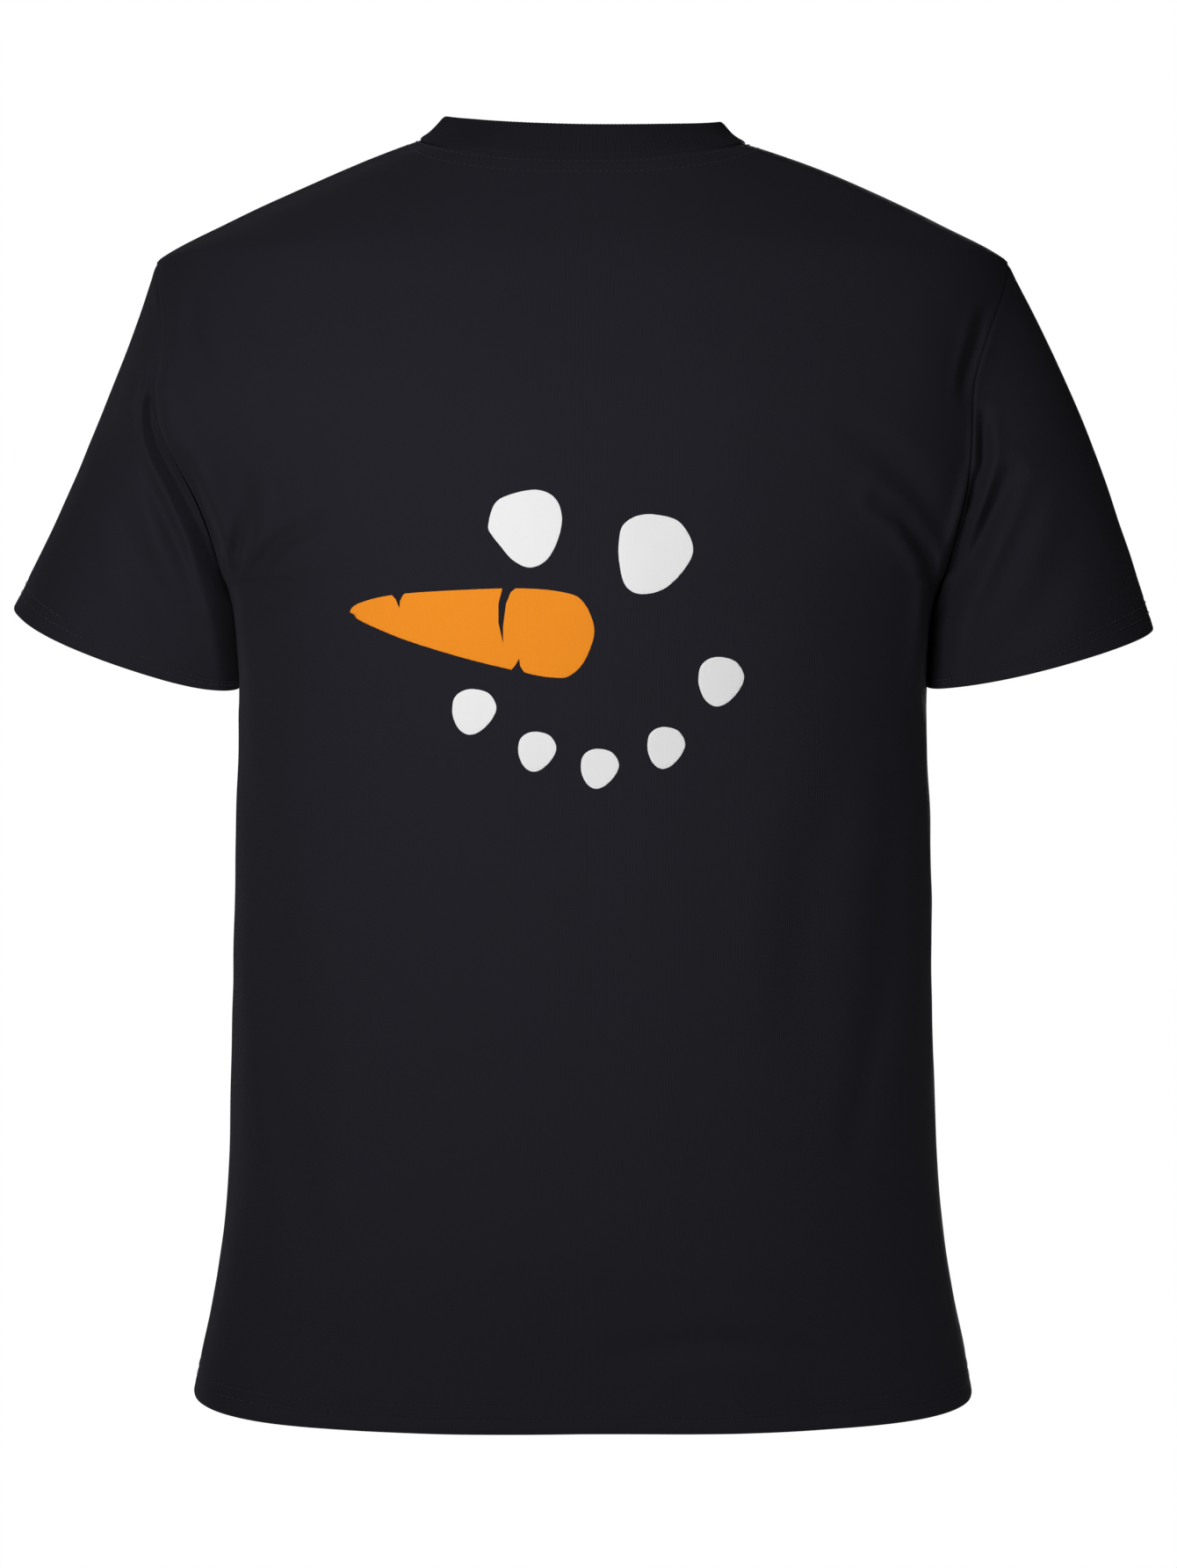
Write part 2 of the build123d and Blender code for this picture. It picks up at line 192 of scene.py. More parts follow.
# %% [markdown]
# ## The body's sections
# Each section is a superellipse: an oval that turns squarer as its power rises. A lattice or a sculpted
# body could give the same shape, but a table of sections is easy to read against the real shirt.

# %% The body's sections: height, half width, half depth, middle's y, roundness
under_arm = armpit_z - hem_z


def shoulder_section(share):
    wide = neck_half_width + share * (shoulder_x - neck_half_width)
    rise = shoulder_z * share + 16 * share * (1 - share)
    return (rise, wide, 70 + 27 * share**1.2, neck_forward * (1 - share), 2.1 + 0.2 * share)


sections = np.array(
    [
        (hem_z - 30, hem_half_width + 6, hem_half_depth, 0, hem_roundness),
        (hem_z, hem_half_width, hem_half_depth, 0, hem_roundness),
        (hem_z + 0.19 * under_arm, 200, 111, 0, (hem_roundness + chest_roundness) / 2),
        (hem_z + 0.45 * under_arm, 195, 117, 0, chest_roundness),
        (hem_z + 0.7 * under_arm, 193, 120.5, 0, chest_roundness),
        (hem_z + 0.9 * under_arm, chest_half_width, chest_half_depth, 0, chest_roundness),
        (armpit_z, armpit_x, chest_half_depth, 0, chest_roundness),
        (-202.75, 0, 121.5, 0, chest_roundness),
        (-148.5, 0, 119, 0, chest_roundness),
        (-103.2, 0, 108, 0, chest_roundness),
        *[shoulder_section(share) for share in (1.0, 0.75, 0.5, 0.25, 0.0)],
        (collar_rise, neck_half_width - collar_lean, 64.4, neck_forward, 2.1),
        (collar_rise + 6, neck_half_width - collar_lean * 1.46, 61.8, neck_forward, 2.1),
    ]
)
print("sections:", len(sections))

# %% [markdown]
# ## From sections to a surface
# Between two sections the sizes follow a smooth cubic curve. Beside the armhole the width isn't given:
# it is worked out, so that the surface passes exactly through the armhole's edge.

# %% Places on the body

def armhole_x(z):
    return shoulder_x + (shoulder_z - z) / (shoulder_z - armpit_z) * (armpit_x - shoulder_x)


def armhole_opening(z):
    """Half the armhole's depth at height z, from 0 at the shoulder to 0 at the armpit."""
    share = np.clip((shoulder_z - z) / (shoulder_z - armpit_z), 0, 1)
    return armhole_half_depth * np.sin(pi * share) ** 0.45


for row in sections[7:10]:
    ratio = armhole_opening(row[0]) / row[2]
    row[1] = armhole_x(row[0]) / (1 - ratio ** row[4]) ** (1 / row[4])


def section(z):
    """Half width, half depth, middle's y and roundness of the body at heights z, as smooth curves."""
    z = np.clip(z, sections[0, 0], sections[-1, 0])
    heights = sections[:, 0]
    slopes = np.gradient(sections, heights, axis=0)
    i = np.clip(np.searchsorted(heights, z) - 1, 0, len(heights) - 2)
    gap = heights[i + 1] - heights[i]
    t = (z - heights[i]) / gap
    h1, h2 = 2 * t**3 - 3 * t**2 + 1, t**3 - 2 * t**2 + t
    h3, h4 = -2 * t**3 + 3 * t**2, t**3 - t**2
    out = [
        h1 * sections[i, k] + h2 * gap * slopes[i, k]
        + h3 * sections[i + 1, k] + h4 * gap * slopes[i + 1, k]
        for k in (1, 2, 3, 4)
    ]
    inside = (z < shoulder_z) & (z > armpit_z)
    ratio = np.clip(armhole_opening(z) / out[1], 0, 0.9)
    exact = armhole_x(z) / (1 - ratio ** out[3]) ** (1 / out[3])
    out[0] = np.where(inside, exact, out[0])
    return out


def depth_at(side, x, z):
    """The y of the back or the front of the body at places (x, z)."""
    wide, deep, middle, power = section(z)
    inside = np.clip(1 - (np.abs(x) / wide) ** power, 0, 1)
    return middle + side * deep * inside ** (1 / power)


def body_base(side, a, z):
    """Points of the body: a runs from -1 to 1 round the back or the front, z is the height."""
    wide, deep, middle, power = section(z)
    angle = a * pi / 2
    x = wide * np.sign(angle) * np.abs(np.sin(angle)) ** (2 / power)
    y = middle + side * deep * np.abs(np.cos(angle)) ** (2 / power)
    return np.stack([x, y, z + 0 * a], axis=-1)


def turn_at(x, z):
    """The value of a that gives x at height z."""
    wide, _, _, power = section(z)
    return np.sign(x) * np.arcsin(np.clip((np.abs(x) / wide) ** (power / 2), 0, 1)) * 2 / pi


chest_ring = body_base(back, np.linspace(-1, 1, 400), np.full(400, armpit_z - 20))
print("chest girth about", round(2 * np.linalg.norm(np.diff(chest_ring, axis=0), axis=1).sum()), "mm")

# %% [markdown]
# ## Folds
# Jersey folds where it is spare: in rays out of the armpits, along the sleeve's underside, and in long
# soft lines down the sides. Each fold is a valley with a ridge on either side, along a given line, and
# all pieces are moved by the same function of their place, so seams, tape and ink stay together. Soft
# unevenness of the whole cloth comes from smooth noise.

# %% Fold lines: points (x, z), half width and depth
back_folds = [
    (
        [(-222, -152), (-217, -178), (-211, -208), (-203, -238), (-197, -258), (-194, -275), (-192, -292),
         (-191, -310)],
        4.6, 13.0,
    ),
    ([(-208, -178), (-204, -206), (-196, -236), (-190, -262)], 3.2, 6.5),
    ([(-192, -262), (-188, -236), (-181, -212), (-180, -196)], 5.0, 6.0),
    ([(-188, -262), (-176, -240), (-160, -226), (-144, -218)], 4.6, 5.0),
    ([(-186, -272), (-170, -256), (-148, -250)], 6.0, 3.0),
    ([(-228, -196), (-219, -224), (-207, -254)], 6.0, 5.0),
    ([(-250, -214), (-236, -246), (-222, -276)], 9.0, 3.2),
    ([(-212, -92), (-208, -112), (-198, -130)], 5.0, 2.6),
    ([(-226, -122), (-222, -146), (-214, -166)], 4.0, 3.0),
    ([(158, -206), (173, -215), (186, -232), (191, -246), (191, -270)], 4.2, 8.0),
    ([(142, -168), (162, -181), (180, -198), (196, -228)], 8.0, 3.2),
    ([(224, -156), (219, -184), (212, -206)], 3.2, 6.0),
    ([(214, -190), (209, -214), (203, -240)], 3.2, 8.0),
    ([(232, -190), (217, -222), (204, -250), (197, -270), (194, -296), (193, -312)], 6.5, 13.0),
    ([(246, -196), (230, -236), (212, -270)], 8.0, 4.0),
    ([(268, -222), (246, -262), (224, -292)], 13.0, 2.2),
    ([(222, -100), (219, -122), (212, -146)], 4.0, 4.0),
    ([(-182, -340), (-171, -408), (-154, -502), (-144, -612)], 11.0, 3.4),
    ([(-184, -400), (-173, -478), (-160, -572)], 8.0, 2.6),
    ([(172, -352), (166, -430), (160, -500)], 10.0, 2.4),
    ([(160, -476), (152, -520), (145, -556)], 8.0, 2.2),
    ([(136, -356), (121, -408), (113, -490)], 14.0, 2.0),
    ([(20, -660), (70, -654), (130, -662)], 7.0, 1.6),
]
front_folds = [
    ([(-x * 0.985, z - 4) for x, z in points], wide, deep * 0.85) for points, wide, deep in back_folds
]
print("folds:", len(back_folds), "behind and", len(front_folds), "in front")

# %% [markdown]
# ## Moving the cloth
# One function gives the movement of any place on the shirt. Cloth simulation would need the wearer's body
# to rest on, and there is none here, so the folds are drawn instead.

# %% The drape

def fold_height(x, z, points, wide, deep):
    """How far a fold moves the cloth outwards at places (x, z)."""
    nearest = np.full(x.shape, 1e9)
    signed = np.zeros(x.shape)
    along = np.zeros(x.shape)
    corners = np.array(points, float)
    lengths = np.linalg.norm(np.diff(corners, axis=0), axis=1)
    start = 0.0
    for (x0, z0), (x1, z1), length in zip(corners[:-1], corners[1:], lengths):
        dx, dz = (x1 - x0) / length, (z1 - z0) / length
        t = np.clip((x - x0) * dx + (z - z0) * dz, 0, length)
        gap_x, gap_z = x - x0 - t * dx, z - z0 - t * dz
        gap = np.hypot(gap_x, gap_z)
        closer = gap < nearest
        nearest = np.where(closer, gap, nearest)
        signed = np.where(closer, gap * np.sign(gap_x * dz - gap_z * dx), signed)
        along = np.where(closer, (start + t) / lengths.sum(), along)
        start += length
    fade = np.sin(pi * np.clip(0.06 + 0.88 * along, 0, 1)) ** 0.7
    valley = np.exp(-((signed / wide) ** 2))
    ridges = 0.55 * np.exp(-(((signed - 1.7 * wide) / (1.15 * wide)) ** 2))
    ridges += 0.4 * np.exp(-(((signed + 1.8 * wide) / (1.3 * wide)) ** 2))
    return deep * fade * (ridges - valley)


def wander(points, scale, seed):
    """Smooth noise between about -1 and 1 at each point."""
    moved = points / scale + seed
    return np.array([noise.noise(Vector(p)) for p in moved])


def drape(points):
    """How far each point of the flat-lying surface moves, in millimetres."""
    flat = points.reshape(-1, 3)
    x, y, z = flat.T
    move = np.zeros_like(flat)
    for side, folds in ((back, back_folds), (front, front_folds)):
        weight = np.clip((side * y + 4) / 34, 0, 1)
        weight = weight * weight * (3 - 2 * weight)
        for points_of_fold, wide, deep in folds:
            move[:, 1] += side * weight * fold_height(x, z, points_of_fold, wide, deep)
    behind = np.clip(-y / 40, 0, 1)
    move[:, 0] -= behind * 15 * np.exp(-(((z + 158) / 40) ** 2) - ((x + 217) / 26) ** 2)
    move[:, 0] -= behind * 9 * np.exp(-(((z + 135) / 40) ** 2) - ((x - 220) / 26) ** 2)
    stretched = flat * np.array([1.0, 1.0, 0.45])
    sway = 1.5 * wander(stretched, 62, 3.1) + 0.55 * wander(flat, 27, 9.7)
    outwards = flat * np.array([1.0, 1.6, 0.0])
    outwards /= np.maximum(np.linalg.norm(outwards, axis=1), 1)[:, None]
    calm = np.clip((20 - z) / 90, 0.15, 1)
    move += outwards * (sway * calm)[:, None]
    near_neck = np.clip((z + 25) / 30, 0, 1) ** 2
    move[:, 2] += near_neck * (0.4 - 0.02 * x)
    ripple = np.exp(-(((z - hem_z + 8) / 60) ** 2))
    move[:, 1] += ripple * 2.2 * np.sin(x / 31 + 1.3) * np.cos(x / 77)
    return move.reshape(points.shape)


def normal_of(base, da, db):
    n = np.cross(da, db)
    n /= np.maximum(np.linalg.norm(n, axis=-1), 1e-9)[..., None]
    return n


# %% [markdown]
# ## Finished places on the body
# Every piece asks for its places here: the smooth surface, raised along its normal by a lift, and moved
# by the drape.

# %% Body point
def body_point(side, a, z, lift=0.0):
    """Finished places on the body, in metres, raised by lift millimetres."""
    e = 0.004
    inner = np.clip(a, -1 + 2 * e, 1 - 2 * e)
    base = body_base(side, a, z)
    da = body_base(side, inner + e, z) - body_base(side, inner - e, z)
    dz = body_base(side, inner, z + 0.5) - body_base(side, inner, z - 0.5)
    n = normal_of(base, da, dz) * (-side)
    lift = np.broadcast_to(lift, a.shape)
    return (base + n * lift[..., None] + drape(base)) * mm


middle_of_back = body_point(back, np.array([0.0]), np.array([armpit_z]))[0]
print("middle of the back:", middle_of_back.round(3))

# %% [markdown]
# ## Materials
# Black jersey is never one flat black: the yarn is mottled, the knit has fine ribs, and rough fibres catch
# a little light at grazing angles. Two node groups, one for the knit's relief and one for the mottling,
# are used by all the cloths with their own values.

# %% An empty node group
def new_group(name, inputs, outputs):
    group = bpy.data.node_groups.new(name, "ShaderNodeTree")
    for label, kind, value in inputs:
        socket = group.interface.new_socket(label, in_out="INPUT", socket_type=kind)
        socket.default_value = value
    for label, kind in outputs:
        group.interface.new_socket(label, in_out="OUTPUT", socket_type=kind)
    return group, group.nodes.new("NodeGroupInput"), group.nodes.new("NodeGroupOutput")


# %% [markdown]
# ## Knit
# Jersey is columns of V-shaped loops. Two sine waves, one across and one up the cloth, give their relief.
# An image of knitting would do it too, but waves stay sharp from any distance.

# %% Knit relief
def knit_group():
    """Height of a knit: V-shaped columns of loops, one loop per pitch, from the piece's UV map."""
    group, given, result = new_group(
        "knit",
        [("Loops", "NodeSocketFloat", 1000.0)],
        [("Height", "NodeSocketFloat")],
    )
    nodes, links = group.nodes, group.links
    place = nodes.new("ShaderNodeUVMap")
    place.uv_map = "cloth"
    scale = nodes.new("ShaderNodeVectorMath")
    scale.operation = "SCALE"
    links.new(place.outputs[0], scale.inputs[0])
    links.new(given.outputs["Loops"], scale.inputs["Scale"])
    split = nodes.new("ShaderNodeSeparateXYZ")
    links.new(scale.outputs[0], split.inputs[0])

    def wave(source, turns):
        turned = nodes.new("ShaderNodeMath")
        turned.operation = "MULTIPLY"
        turned.inputs[1].default_value = turns
        links.new(source, turned.inputs[0])
        curve = nodes.new("ShaderNodeMath")
        curve.operation = "SINE"
        links.new(turned.outputs[0], curve.inputs[0])
        return curve.outputs[0]

    columns = wave(split.outputs[0], 2 * pi)
    lean = nodes.new("ShaderNodeMath")
    lean.operation = "MULTIPLY_ADD"
    lean.inputs[1].default_value = 0.16
    links.new(columns, lean.inputs[0])
    links.new(split.outputs[1], lean.inputs[2])
    rows = wave(lean.outputs[0], 2.6 * pi)
    mix = nodes.new("ShaderNodeMath")
    mix.operation = "MULTIPLY_ADD"
    mix.inputs[1].default_value = 0.5
    links.new(rows, mix.inputs[0])
    links.new(columns, mix.inputs[2])
    links.new(mix.outputs[0], result.inputs["Height"])
    return group


# %% [markdown]
# ## Mottling
# Two noises, one as broad as a hand and one as fine as yarn, mix a dark colour and a lighter one.

# %% Mottled colour
def mottle_group():
    """A colour that wanders between two, as yarn and washing leave it, and a roughness to go with it."""
    group, given, result = new_group(
        "mottle",
        [
            ("Dark", "NodeSocketColor", (0, 0, 0, 1)),
            ("Light", "NodeSocketColor", (0.1, 0.1, 0.1, 1)),
            ("Low", "NodeSocketFloat", 0.8),
            ("High", "NodeSocketFloat", 0.95),
        ],
        [("Color", "NodeSocketColor"), ("Roughness", "NodeSocketFloat")],
    )
    nodes, links = group.nodes, group.links
    place = nodes.new("ShaderNodeTexCoord")
    broad, fine = nodes.new("ShaderNodeTexNoise"), nodes.new("ShaderNodeTexNoise")
    broad.inputs["Scale"].default_value = 9
    broad.inputs["Detail"].default_value = 4
    fine.inputs["Scale"].default_value = 900
    fine.inputs["Detail"].default_value = 2
    for texture in (broad, fine):
        links.new(place.outputs["Object"], texture.inputs["Vector"])
    both = nodes.new("ShaderNodeMath")
    both.operation = "MULTIPLY_ADD"
    both.inputs[1].default_value = 0.5
    links.new(fine.outputs["Fac"], both.inputs[0])
    half = nodes.new("ShaderNodeMath")
    half.operation = "MULTIPLY"
    half.inputs[1].default_value = 0.5
    links.new(broad.outputs["Fac"], half.inputs[0])
    links.new(half.outputs[0], both.inputs[2])
    blend = nodes.new("ShaderNodeMix")
    blend.data_type = "RGBA"
    links.new(both.outputs[0], blend.inputs["Factor"])
    links.new(given.outputs["Dark"], blend.inputs["A"])
    links.new(given.outputs["Light"], blend.inputs["B"])
    spread = nodes.new("ShaderNodeMapRange")
    links.new(both.outputs[0], spread.inputs["Value"])
    spread.inputs["From Min"].default_value = 0.3
    spread.inputs["From Max"].default_value = 0.7
    links.new(given.outputs["Low"], spread.inputs["To Min"])
    links.new(given.outputs["High"], spread.inputs["To Max"])
    colour = [socket for socket in blend.outputs if socket.type == "RGBA"][0]
    links.new(colour, result.inputs["Color"])
    links.new(spread.outputs[0], result.inputs["Roughness"])
    return group


knit, mottle = knit_group(), mottle_group()
print("node groups:", [group.name for group in bpy.data.node_groups])

# %% [markdown]
# ## Cloth, thread and ink
# One function makes every material here, because ink on jersey keeps the jersey's relief and thread and
# satin differ from it only in colour, loops and shine.

# %% Cloth, thread and ink
def use_group(tree, group, **values):
    node = tree.nodes.new("ShaderNodeGroup")
    node.node_tree = group
    for label, value in values.items():
        node.inputs[label].default_value = value
    return node


def cloth_material(name, dark, light, loops=0, relief=0.3, sheen=0.04, low=0.82, high=0.96):
    """A matt cloth: mottled colour, knit relief and a faint sheen."""
    material = bpy.data.materials.new(name)
    material.use_nodes = True
    tree = material.node_tree
    shader = tree.nodes["Principled BSDF"]
    shader.inputs["Specular IOR Level"].default_value = 0.1
    shader.inputs["Sheen Weight"].default_value = sheen
    shader.inputs["Sheen Roughness"].default_value = 0.45
    shader.inputs["Sheen Tint"].default_value = (0.62, 0.6, 0.74, 1)
    yarn = use_group(tree, mottle, Dark=(*dark, 1), Light=(*light, 1), Low=low, High=high)
    tree.links.new(yarn.outputs["Color"], shader.inputs["Base Color"])
    tree.links.new(yarn.outputs["Roughness"], shader.inputs["Roughness"])
    if loops:
        height = use_group(tree, knit, Loops=float(loops))
        bump = tree.nodes.new("ShaderNodeBump")
        bump.inputs["Strength"].default_value = relief
        bump.inputs["Distance"].default_value = 0.0002
        tree.links.new(height.outputs["Height"], bump.inputs["Height"])
        tree.links.new(bump.outputs["Normal"], shader.inputs["Normal"])
    return material


jersey_loops = 1150
jersey_black = cloth_material(
    "black_jersey", (0.0115, 0.011, 0.0155), (0.0175, 0.0165, 0.023), loops=jersey_loops
)
rib_black = cloth_material("black_rib", (0.0095, 0.0088, 0.0125), (0.0145, 0.0135, 0.019), loops=900)
tape_black = cloth_material("black_tape", (0.011, 0.0105, 0.014), (0.02, 0.019, 0.025), loops=700, relief=0.5)
thread_black = cloth_material("black_thread", (0.012, 0.0115, 0.016), (0.028, 0.027, 0.035), sheen=0.2)
label_white = cloth_material(
    "satin_label", (0.62, 0.61, 0.58), (0.72, 0.71, 0.68), loops=1500, low=0.4, high=0.5
)
on_jersey = dict(loops=jersey_loops, relief=0.12, sheen=0.0)
ink_white = cloth_material("white_ink", (0.84, 0.84, 0.84), (0.9, 0.9, 0.9), **on_jersey)
ink_orange = cloth_material("orange_ink", (0.86, 0.25, 0.014), (0.93, 0.31, 0.02), **on_jersey)
print("materials:", len(bpy.data.materials))

# %% [markdown]
# ## Laying cloth
# A piece of cloth starts as a flat grid, which is what cloth is. Each corner of the grid is then given its
# place on the shirt, and a closed band's two ends are merged. Two real layers of surface come from
# Solidify, so the cloth has its thickness. Its UV map keeps the distances of the flat cloth, so the knit
# stays even in size.

# %% The grid helper
def lay(name, columns, rows, place, size, material, closed=False, tube=False, thickness=cloth):
    """A grid whose corners are placed by place(u, v), with u and v from 0 to 1."""
    bm = bmesh.new()
    bmesh.ops.create_grid(bm, x_segments=columns, y_segments=rows, size=0.5)
    layer = bm.loops.layers.uv.new("cloth")
    for face in bm.faces:
        for loop in face.loops:
            loop[layer].uv = ((loop.vert.co.x + 0.5) * size[0], (loop.vert.co.y + 0.5) * size[1])
    mesh = bpy.data.meshes.new(name)
    bm.to_mesh(mesh)
    bm.free()
    flat = np.zeros(len(mesh.vertices) * 3)
    mesh.vertices.foreach_get("co", flat)
    flat = flat.reshape(-1, 3)
    placed = place(flat[:, 0] + 0.5, flat[:, 1] + 0.5)
    mesh.vertices.foreach_set("co", placed.astype(np.float32).ravel())
    bm = bmesh.new()
    bm.from_mesh(mesh)
    if closed or tube:
        bmesh.ops.remove_doubles(bm, verts=bm.verts, dist=2e-6)
    for face in bm.faces:
        face.smooth = True
    bm.to_mesh(mesh)
    bm.free()
    piece = bpy.data.objects.new(name, mesh)
    bpy.context.scene.collection.objects.link(piece)
    mesh.materials.append(material)
    if not tube:
        skin = piece.modifiers.new("thickness", "SOLIDIFY")
        skin.thickness = thickness * mm
        skin.offset = -1
        skin.use_even_offset = False
    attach(piece, "root")
    return piece


def face_outwards(piece, away_from):
    """Turns the faces over if most of them look towards the line or point they should look away from."""
    mesh = piece.data
    total = 0.0
    for face in mesh.polygons:
        total += (face.center - away_from(face.center)).dot(face.normal) * face.area
    if total < 0:
        mesh.flip_normals()
    return piece


def spine(centre):
    return Vector((0, 0, centre.z))


print("cloth thickness:", cloth, "mm")

# %% [markdown]
# ## Back and front
# The grid's columns run from the hem up to the neck, and its side edges run up the side seam, round the
# armhole and along the shoulder seam. The hem is part of the same grid: the first rows lie inside the
# shirt, the next ones roll round the fold, and the rest are the panel. Near each seam the cloth dips.

# %% Rows, and how the cloth dips
inside_rows, roll_rows, trunk_rows, arm_rows, seam_rows = 4, 4, 104, 52, 44
panel_rows = inside_rows + roll_rows + trunk_rows + arm_rows + seam_rows
panel_columns = 136
layer_gap = 2 * cloth + 0.2


def seam_dip(distance):
    """The cloth's height near a seam: it dips into the stitches and stands up a little beside them."""
    return -0.4 * np.exp(-((distance / 1.4) ** 2)) + 0.2 * np.exp(-(((distance - 4.5) / 3.0) ** 2))


def stitch_dip(from_row):
    """The two shallow furrows of a twin needle's rows, from the distance above the lower one's place."""
    furrows = np.exp(-((from_row / 2.2) ** 2)) + np.exp(-(((from_row + 5.5) / 2.2) ** 2))
    return -0.35 * furrows


print("panel rows:", panel_rows)

# %% [markdown]
# ## Placing a panel
# A row's number says whether it is in the turned-up hem, the roll, the trunk, beside the armhole or beside
# the shoulder seam, and each of these shares runs from 0 to 1.

# %% Panel
def edge_turn(z):
    """The value of a at the panel's side edge: 1 on a seam, less where the armhole is cut."""
    within = (z < shoulder_z) & (z > armpit_z)
    return np.where(within, np.abs(turn_at(armhole_x(z), z)), 1.0)


def panel_place(side):
    neck_drop = back_neck_drop if side == back else front_neck_drop

    def place(u, v):
        c = 2 * u - 1
        across = 1.34 * c - 0.34 * c**3
        row = v * panel_rows
        inside = np.clip(row / inside_rows, 0, 1)
        roll = np.clip((row - inside_rows) / roll_rows, 0, 1) * pi
        up = np.clip((row - inside_rows - roll_rows) / trunk_rows, 0, 1)
        arm = np.clip((row - inside_rows - roll_rows - trunk_rows) / arm_rows, 0, 1)
        seam = np.clip((row - panel_rows + seam_rows) / seam_rows, 0, 1)

        base_y = body_base(side, across, np.full_like(across, hem_z))[:, 1]
        low = hem_z + back_hem_drop * base_y / hem_half_depth
        neck_z = -neck_drop * np.cos(across * pi / 2)
        seam_z = shoulder_z + 0.72 * neck_z
        neck_x = neck_half_width * np.sin(across * pi / 2)
        z = low + up * (armpit_z - low)
        z = z + arm * (seam_z - armpit_z) + seam * (neck_z - seam_z)
        z = z + np.where(up <= 0, hem_depth * (1 - inside), 0)
        rolled = (row > inside_rows) & (up <= 0)
        z = z + np.where(rolled, layer_gap / 2 * (1 - np.sin(roll)), 0)
        z = z + np.where(row <= inside_rows, layer_gap / 2 * inside, 0)

        ease = seam * seam * (3 - 2 * seam)
        held = across * edge_turn(seam_z)
        released = 1 - (1 - seam) ** (2 + 14 * np.abs(across) ** 12)
        above = held + released * (across - held)
        above = above + ease * (turn_at(neck_x, neck_z) - above)
        a = np.where(seam > 0, above, across * edge_turn(z))
        lift = np.where(up <= 0, -layer_gap / 2 * (1 + np.cos(roll)), 0.0)

        from_side = (1 - np.abs(across)) * 250
        from_neck = (1 - seam) * 62
        lift = lift + np.where(up > 0, seam_dip(from_side), 0)
        lift = lift + np.where(seam > 0, seam_dip(from_neck), 0)
        lift = lift + np.where(up > 0, stitch_dip(z - low - hem_depth + 2), 0)
        return body_point(side, a, z, lift)

    return place


# %% [markdown]
# ## Cutting the two panels
# The same grid makes the back and the front, which differ only in how low the neck is cut.

# %% Back and front cloth
for name, side in (("back_panel", back), ("front_panel", front)):
    place = panel_place(side)
    piece = lay(f"{name}_cloth", panel_columns, panel_rows, place, (0.5, 0.72), jersey_black)
    face_outwards(piece, spine)
    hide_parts(name)
    print(name, "faces:", len(piece.data.polygons))

# %% [markdown]
# ## Sleeves
# A sleeve is a tube. At the armhole it has the armhole's own outline, and it turns into an oval towards the
# hem, which hangs lower at the back of the arm. The left arm is held a little higher than the right one.

# %% Sleeve surface
sleeve_out_run, sleeve_in_run, sleeve_in_fall = 82.0, -4.0, 55.0
sleeve_out_fall = {left: 190.0, right: 203.0}
sleeve_upper_depth, sleeve_hem_half_depth = 66.0, 62.0
sleeve_bow, arm_forward = {left: -4.0, right: 5.0}, 9.0
arm_pitch = {left: 11.0, right: 7.0}
sleeve_length = 205.0

shares = np.linspace(0, 1, 721)
share_angles = np.arctan2(np.sin(pi * shares) ** 0.45, 1 - 2 * shares)


def sleeve_base(side, s, turn):
    """Points of a sleeve: s runs from armhole to hem, turn goes round from the top by way of the back."""
    bow = sleeve_bow[side] * 4 * s * (1 - s)
    out = np.stack(
        [
            side * (shoulder_x + s * sleeve_out_run + bow),
            arm_forward * s,
            shoulder_z - s * sleeve_out_fall[side] + bow * 0.4,
        ],
        axis=-1,
    )
    inn = np.stack(
        [side * (armpit_x + s * sleeve_in_run), arm_forward * s, armpit_z - s * sleeve_in_fall],
        axis=-1,
    )
    middle, half = (out + inn) / 2, (out - inn) / 2
    tilt = radians(arm_pitch[side]) * s
    to_back = np.stack([0 * s, -np.cos(tilt), -np.sin(tilt)], axis=-1)
    deep = sleeve_upper_depth + np.clip(2 * s - 1, 0, 1) * (sleeve_hem_half_depth - sleeve_upper_depth)
    round_turn = np.where(turn > pi, 2 * pi - turn, turn)
    back_or_front = np.where(turn > pi, -1.0, 1.0)
    share = np.interp(round_turn, share_angles, shares)
    tall_armhole, deep_armhole = 1 - 2 * share, np.clip(np.sin(pi * share), 0, 1) ** 0.45
    ease = np.clip(s / 0.34, 0, 1)
    ease = ease * ease * (3 - 2 * ease)
    tall = tall_armhole + ease * (np.cos(round_turn) - tall_armhole)
    depth = deep_armhole * armhole_half_depth
    depth = depth + ease * (np.sin(round_turn) * deep - depth)
    return middle + half * tall[..., None] + to_back * (depth * back_or_front)[..., None]


def sleeve_point(side, s, turn, lift=0.0):
    e = 0.01
    base = sleeve_base(side, s, turn)
    inner = np.clip(s, e, 1)
    ds = sleeve_base(side, inner + e, turn) - sleeve_base(side, inner - e, turn)
    dt = sleeve_base(side, s, (turn + e) % (2 * pi)) - sleeve_base(side, s, (turn - e) % (2 * pi))
    n = normal_of(base, ds, dt) * -side
    lift = np.broadcast_to(lift, s.shape)
    underside = np.clip(-np.cos(turn), 0, 1) ** 3 * np.clip(s * 4, 0, 1)
    settle = np.stack([side * -3.6 * underside, -17 * underside, 0 * s], axis=-1)
    return (base + n * lift[..., None] + drape(base) + settle) * mm


print("sleeve length:", sleeve_length, "mm")

# %% [markdown]
# ## Sleeve cloth
# The tube is a grid rolled round until its two ends meet. It starts with the turned-up hem and ends a little
# inside the armhole, under the panel, so that no gap can open along the seam.

# %% Sleeve cloth
sleeve_columns, sleeve_rows = 176, 96


